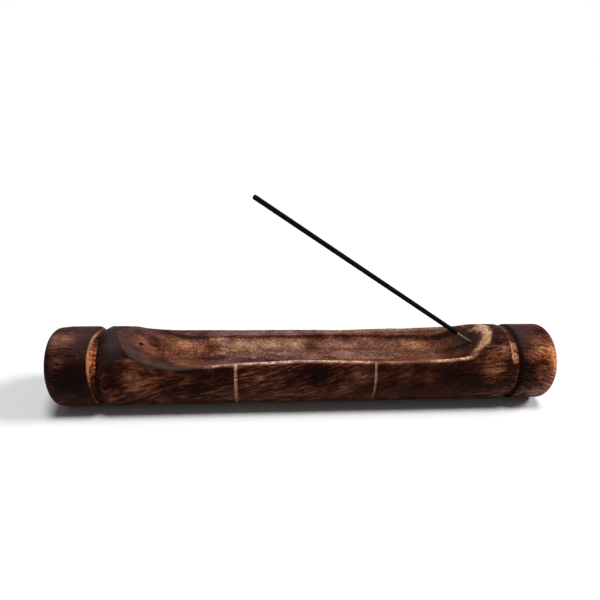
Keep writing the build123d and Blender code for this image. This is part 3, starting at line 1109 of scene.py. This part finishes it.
def grain_group(name):
    """Shader group of grain, stretched along its first axis, with outputs between 0 and 1."""
    layers = GRAINS[name]
    inputs = {"Vector": ["Vector"], "Float": ["Size", "Stretch", "Seed"]}
    graph, given = group_tree(name, "ShaderNodeTree", inputs, {"Float": layers})
    size = given["Size"]
    scaled = graph.vector("DIVIDE", given["Vector"], graph.triple(size * given["Stretch"], size, size))
    outputs = {}
    for label, (low, high, seed_step, shape) in layers.items():
        outputs[label] = graph.reach(graph.noise(scaled, seed=given["Seed"] + seed_step, **shape), low, high)
    graph.node("NodeGroupOutput", outputs)
    return graph.tree


def grain_on(graph, name, vector, size, seed, stretch=1.0):
    """Puts a group of grain into a material, with its size in millimetres."""
    tree = shared_tree(name, lambda: grain_group(name))
    values = {"Vector": vector, "Size": size * MM, "Stretch": stretch, "Seed": seed}
    return graph.node("ShaderNodeGroup", values, node_tree=tree)


def new_material(name):
    """Material with a plain Principled shader, its graph, and the shader's inputs."""
    material = bpy.data.materials.new(name)
    material.use_nodes = True
    return material, Graph(material.node_tree), material.node_tree.nodes["Principled BSDF"].inputs


def dress(graph, shader, shade, roughness, gloss, height, depth):
    """Gives a shader its colour, roughness, plain gloss, and a relief of a depth in millimetres."""
    bump = graph.node("ShaderNodeBump", {"Strength": 1.0, "Distance": depth * MM, "Height": height})
    values = {"Base Color": shade, "Roughness": roughness, "Specular IOR Level": gloss, "Normal": bump}
    for name, value in values.items():
        graph.put(shader[name], value)


def scorched_wood(finish):
    """Wood burnt dark over its grain, sanded through at the rims, with sooty and toasted places, and with painted
    sheen, shade, highlights and glints in its colour.
    """
    material, graph, shader = new_material("scorched_wood")
    place = graph.node("ShaderNodeTexCoord")["Object"]
    flow = graph.attribute("flow", vector=True)
    fibres = grain_on(graph, "Fibres", flow, size=1.3, seed=2.0, stretch=8.5)
    flecks = grain_on(graph, "Fibres", flow, size=1.0, seed=12.0, stretch=3.2)
    stipple = grain_on(graph, "Stipple", place, size=1.3, seed=4.0)
    grains, mottle = stipple["Grains"], stipple["Mottle"]
    hollow, speckle, soot_and_sheen = (graph.attribute(name) for name in ("hollow", "speckle", "soot_and_sheen"))

    def swing(value, amount):
        return (value - 0.5) * amount

    plain = graph.reach(soot_and_sheen, 0, 1, 1, 0.3) * graph.reach(graph.attribute("calm"), 0, 1, 1, 0.55)
    tone = (
        graph.attribute("tone")
        + swing(fibres["Streaks"], graph.reach(hollow, 0, 1, 0.46, 0.16) * plain)
        + swing(flecks["Streaks"], graph.reach(hollow, 0, 1, 0.26, 0.12) * plain)
        + swing(fibres["Fine"], 0.18)
        + swing(mottle, 0.16)
        + swing(grains, graph.reach(speckle, 0, 1, 0.04, 0.40))
        + graph.attribute("beads") * 0.08
    )
    # Pale worn wood on the rims and the lip, partly a painted highlight.
    worn = graph.attribute("wear") * graph.reach(grains, 0.0, 0.6, 0.74, 1.0)
    tone = blend(tone, worn, TONES["bare"] + swing(grains, 0.36))
    # Painted glints: bright specks in a dotted line round the left groove.
    glint_count = 122.0
    glint_beat = graph.math("SINE", graph.attribute("turn") * glint_count + grains * 2.5)
    tone = tone + graph.attribute("glints") * graph.reach(glint_beat, 0.2, 0.6) * 0.75
    stops = [(stop, colour(getattr(finish, name))) for name, stop in TONE_SCALE.items()]

    hue = graph.reach(graph.noise(place, scale=150.0, seed=21.0), 0.35, 0.65)
    tint = graph.mix(graph.attribute("rosy"), graph.mix(hue, COOL_TINT, WARM_TINT), ROSY_TINT)
    wood = graph.tinted(graph.ramp(tone / FULL_TONE, stops), tint)
    toasted = graph.mix(graph.attribute("ember"), wood, graph.tinted(wood, colour(finish.ember)))
    # Soot grey, which also paints sheen on the tops and shade by the right hole.
    sooty = graph.mix(soot_and_sheen * graph.reach(flecks["Fine"], 0.1, 0.9, 0.45, 1.0), toasted, colour(finish.soot_and_sheen))

    pith, oval, ring_pitch = (0.0, 0.004, AXIS_HEIGHT * 0.8), (0.0, 1.0, 1.15), 2600.0
    radial = graph.vector("LENGTH", graph.vector("MULTIPLY", graph.vector("SUBTRACT", place, pith), oval))
    rings = graph.reach(graph.math("SINE", radial * ring_pitch + mottle * 3.0), -1, 1, 0.33, 0.43)
    end_tone = rings + swing(grains, 0.22) + graph.reach(radial, 0.012, 0.024, 0.04, -0.16)
    shade = graph.mix(graph.attribute("end_face"), sooty, graph.ramp(end_tone / FULL_TONE, stops))
    relief = fibres["Fine"] * 0.5 + fibres["Pores"] * 0.35 + grains * graph.reach(speckle, 0, 1, 0.25, 0.55)
    roughness = graph.reach(tone, 0.1, 0.9, 0.46, 0.66)
    dress(graph, shader, shade, roughness, gloss=0.02, height=relief, depth=0.16)
    return material


def bare_bamboo(finish):
    """Split bamboo with fine dark fibres, sooty where it leaves the hole."""
    material, graph, shader = new_material("bare_bamboo")
    lean = math.atan2(STICK_AXIS.z, -STICK_AXIS.x)
    place = graph.node("ShaderNodeTexCoord")["Object"]
    turned = graph.node("ShaderNodeMapping", {"Vector": place, "Rotation": (0.0, lean, 0.0)})
    fibres = grain_on(graph, "Fibres", turned, size=0.34, seed=8.0, stretch=22.0)
    fine = fibres["Fine"]
    split = graph.mix(
        fibres["Streaks"] * 0.65 + fine * 0.35, colour(finish.bamboo_dark), colour(finish.bamboo)
    )
    soot_start, soot_end = 22.5 * MM, 27.0 * MM
    sooty = graph.reach(graph.attribute("lengthwise"), soot_start, soot_end, 0.75, 0.0)
    shade = graph.mix(sooty, split, colour(finish.soot_and_sheen))
    roughness = graph.reach(fine, 0, 1, 0.55, 0.72)
    dress(graph, shader, shade, roughness, gloss=0.35, height=fine, depth=0.05)
    return material


def incense_paste(finish):
    """Matt black paste with fine grey grains."""
    material, graph, shader = new_material("incense_paste")
    place = graph.node("ShaderNodeTexCoord")["Object"]
    stipple = grain_on(graph, "Stipple", place, size=0.42, seed=6.0)
    grains = stipple["Grains"]
    dust = graph.reach(grains, 0.55, 1.0) * graph.reach(stipple["Mottle"], 0, 1, 0.3, 1)
    shade = graph.mix(dust, colour(finish.paste), colour(finish.paste_dust))
    roughness = graph.reach(grains, 0, 1, 0.70, 0.92)
    dress(graph, shader, shade, roughness, gloss=0.05, height=grains, depth=0.06)
    return material


# Operators

class INCENSE_OT_stage(bpy.types.Operator):
    """Sets up the camera, the lamps, the white floor and the world"""

    bl_idname = "incense.stage"
    bl_label = "Set Up Stage"

    def execute(self, context):
        stage = context.scene.incense_stage
        sight = Vector(stage.camera_sight).normalized()
        right = sight.cross(Vector(stage.camera_up)).normalized()
        lens = bpy.data.cameras.new("camera")
        lens.lens = stage.lens
        lens.sensor_width = 36.0
        lens.clip_start = 0.01
        camera = show("camera", lens)
        turn = Matrix((right, right.cross(sight), -sight)).transposed().to_4x4()
        camera.matrix_world = Matrix.Translation(stage.camera_place) @ turn
        context.scene.camera = camera

        for name, aim, strength, spread in (
            ("overhead_lamp", stage.key_from, stage.key_strength, stage.key_spread),
            ("side_lamp", stage.side_from, stage.side_strength, stage.side_spread),
        ):
            light = bpy.data.lights.new(name, "SUN")
            light.energy = strength
            light.angle = spread
            show(name, light).rotation_euler = Vector(aim).to_track_quat("Z", "Y").to_euler()

        size = stage.floor_size
        below = -0.2 * MM
        corners = [(x * size, y * size, below) for x, y in ((-1, -1), (1, -1), (1, 1), (-1, 1))]
        mesh = bpy.data.meshes.new("floor")
        mesh.from_pydata(corners, [], [(0, 1, 2, 3)])
        material, _, shader = new_material("white_floor")
        shader["Base Color"].default_value = colour(stage.floor_colour)
        shader["Roughness"].default_value = 1.0
        shader["Specular IOR Level"].default_value = 0.0
        mesh.materials.append(material)
        show("floor", mesh)

        world = bpy.data.worlds.new("white_room")
        world.use_nodes = True
        graph = Graph(world.node_tree)
        path = graph.node("ShaderNodeLightPath")
        direct = path["Is Camera Ray"] + path["Is Glossy Ray"]
        seen = graph.math("ADD", direct, path["Is Transmission Ray"], clamp=True)
        background = world.node_tree.nodes["Background"].inputs
        background["Color"].default_value = (1, 1, 1, 1)
        graph.put(background["Strength"], graph.reach(seen, 0, 1, stage.ambient, 1.0))
        context.scene.world = world
        context.scene.view_settings.view_transform = "Standard"
        return {"FINISHED"}


class INCENSE_OT_carved_round(bpy.types.Operator):
    """Carves and scorches the round of wood"""

    bl_idname = "incense.carved_round"
    bl_label = "Carve Round"

    def execute(self, context):
        sizes = context.scene.incense_round
        marks = context.scene.incense_marks
        rings, places, near_rim, far_rim = carved_grid(sizes)
        foot = stick_line("bamboo_splint")[0]
        bore = LEFT_HOLE["dims"]["r_mm"] * MM
        depth = LEFT_HOLE["dims"]["length_mm"] * MM
        left_axis = Vector(LEFT_HOLE["axis"]).normalized()
        left_middle = Vector(LEFT_HOLE["pos_m"])
        mouths = (left_middle + left_axis * (depth / 2), foot + STICK_AXIS * depth)
        for mouth in mouths:
            bridge_hole(rings, places, mouth.x, sizes.inner_columns)
        for score in (sizes.left_score, sizes.right_score):
            bridge_score(rings, places, score, sizes.inner_columns)
        soften_left_rim(rings, sizes.softening)
        piece = show("carved_round", close_rings(rings))
        clear = 0.3 * MM
        over = 9.0 * MM
        drill(piece, (
            (left_middle, left_axis, bore, depth / 2, depth / 2 + over),
            (foot, STICK_AXIS, bore, clear, depth + over),
        ))
        lay_finish(piece.data, sizes, (places, near_rim, far_rim), mouths)
        tilt_ends(piece.data, sizes)
        apply_tree(piece, shared_tree("Tool marks", tool_mark_tree), {
            "Wobble": marks.wobble, "Wobble spacing": marks.wobble_spacing, "Gouge": marks.gouge,
            "Gouge spacing": marks.gouge_spacing, "Rim wear": marks.rim_wear, "Chatter": marks.chatter,
            "Chatter count": marks.chatter_count, "Grain": marks.grain, "Seed": marks.seed,
            "Material": scorched_wood(context.scene.incense_finish),
        })
        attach(piece, "holder")
        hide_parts("holder_body")
        return {"FINISHED"}


class INCENSE_OT_bare_splint(bpy.types.Operator):
    """Splits the bamboo splint that stands in the hole"""

    bl_idname = "incense.bare_splint"
    bl_label = "Split Bamboo"

    def execute(self, context):
        stick = context.scene.incense_stick
        piece = swept_stick("bare_splint", "bamboo_splint", {
            "Foot round": 0.5 * MM, "Tip round": 0.3 * MM, "Rings": 240, "Sides": 20,
            "Grain": stick.fibre, "Grain size": stick.fibre_size, "Grain stretch": 0.96, "Seed": stick.seed,
            "Material": bare_bamboo(context.scene.incense_finish),
        })
        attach(piece, "stick")
        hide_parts("bamboo_splint")
        return {"FINISHED"}


class INCENSE_OT_rolled_coat(bpy.types.Operator):
    """Rolls the black paste onto the splint"""

    bl_idname = "incense.rolled_coat"
    bl_label = "Roll Paste"

    def execute(self, context):
        stick = context.scene.incense_stick
        piece = swept_stick("rolled_coat", "incense_coat", {
            "Foot round": 0.8 * MM, "Tip round": 1.1 * MM, "Rings": 420, "Sides": 24,
            "Grain": stick.coat_grain, "Grain size": stick.coat_grain_size, "Grain stretch": 0.0,
            "Seed": stick.seed + 2.0, "Material": incense_paste(context.scene.incense_finish),
        })
        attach(piece, "stick")
        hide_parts("incense_coat")
        return {"FINISHED"}


class INCENSE_PT_holder(bpy.types.Panel):
    """Lists what makes the incense holder"""

    bl_idname = "INCENSE_PT_holder"
    bl_label = "Incense Stick Holder"
    bl_space_type = "VIEW_3D"
    bl_region_type = "UI"
    bl_category = "Incense"

    def draw(self, context):
        for kind in OPERATORS:
            self.layout.operator(kind.bl_idname)
        for name in SETTINGS:
            box = self.layout.box()
            group = getattr(context.scene, name)
            for prop in group.bl_rna.properties:
                if prop.identifier not in ("rna_type", "name"):
                    box.prop(group, prop.identifier)


SETTINGS = {
    "incense_round": RoundSettings,
    "incense_marks": ToolMarkSettings,
    "incense_stick": StickSettings,
    "incense_finish": FinishSettings,
    "incense_stage": StageSettings,
}
OPERATORS = (INCENSE_OT_stage, INCENSE_OT_carved_round, INCENSE_OT_bare_splint, INCENSE_OT_rolled_coat)


def register():
    for kind in (*SETTINGS.values(), *OPERATORS, INCENSE_PT_holder):
        bpy.utils.register_class(kind)
    for name, kind in SETTINGS.items():
        setattr(bpy.types.Scene, name, PointerProperty(type=kind))


def unregister():
    for name in SETTINGS:
        delattr(bpy.types.Scene, name)
    for kind in (INCENSE_PT_holder, *OPERATORS[::-1], *SETTINGS.values()):
        bpy.utils.unregister_class(kind)


def main():
    register()
    bpy.ops.incense.stage()
    bpy.ops.incense.carved_round()
    bpy.ops.incense.bare_splint()
    bpy.ops.incense.rolled_coat()


if __name__ == "__main__":
    main()
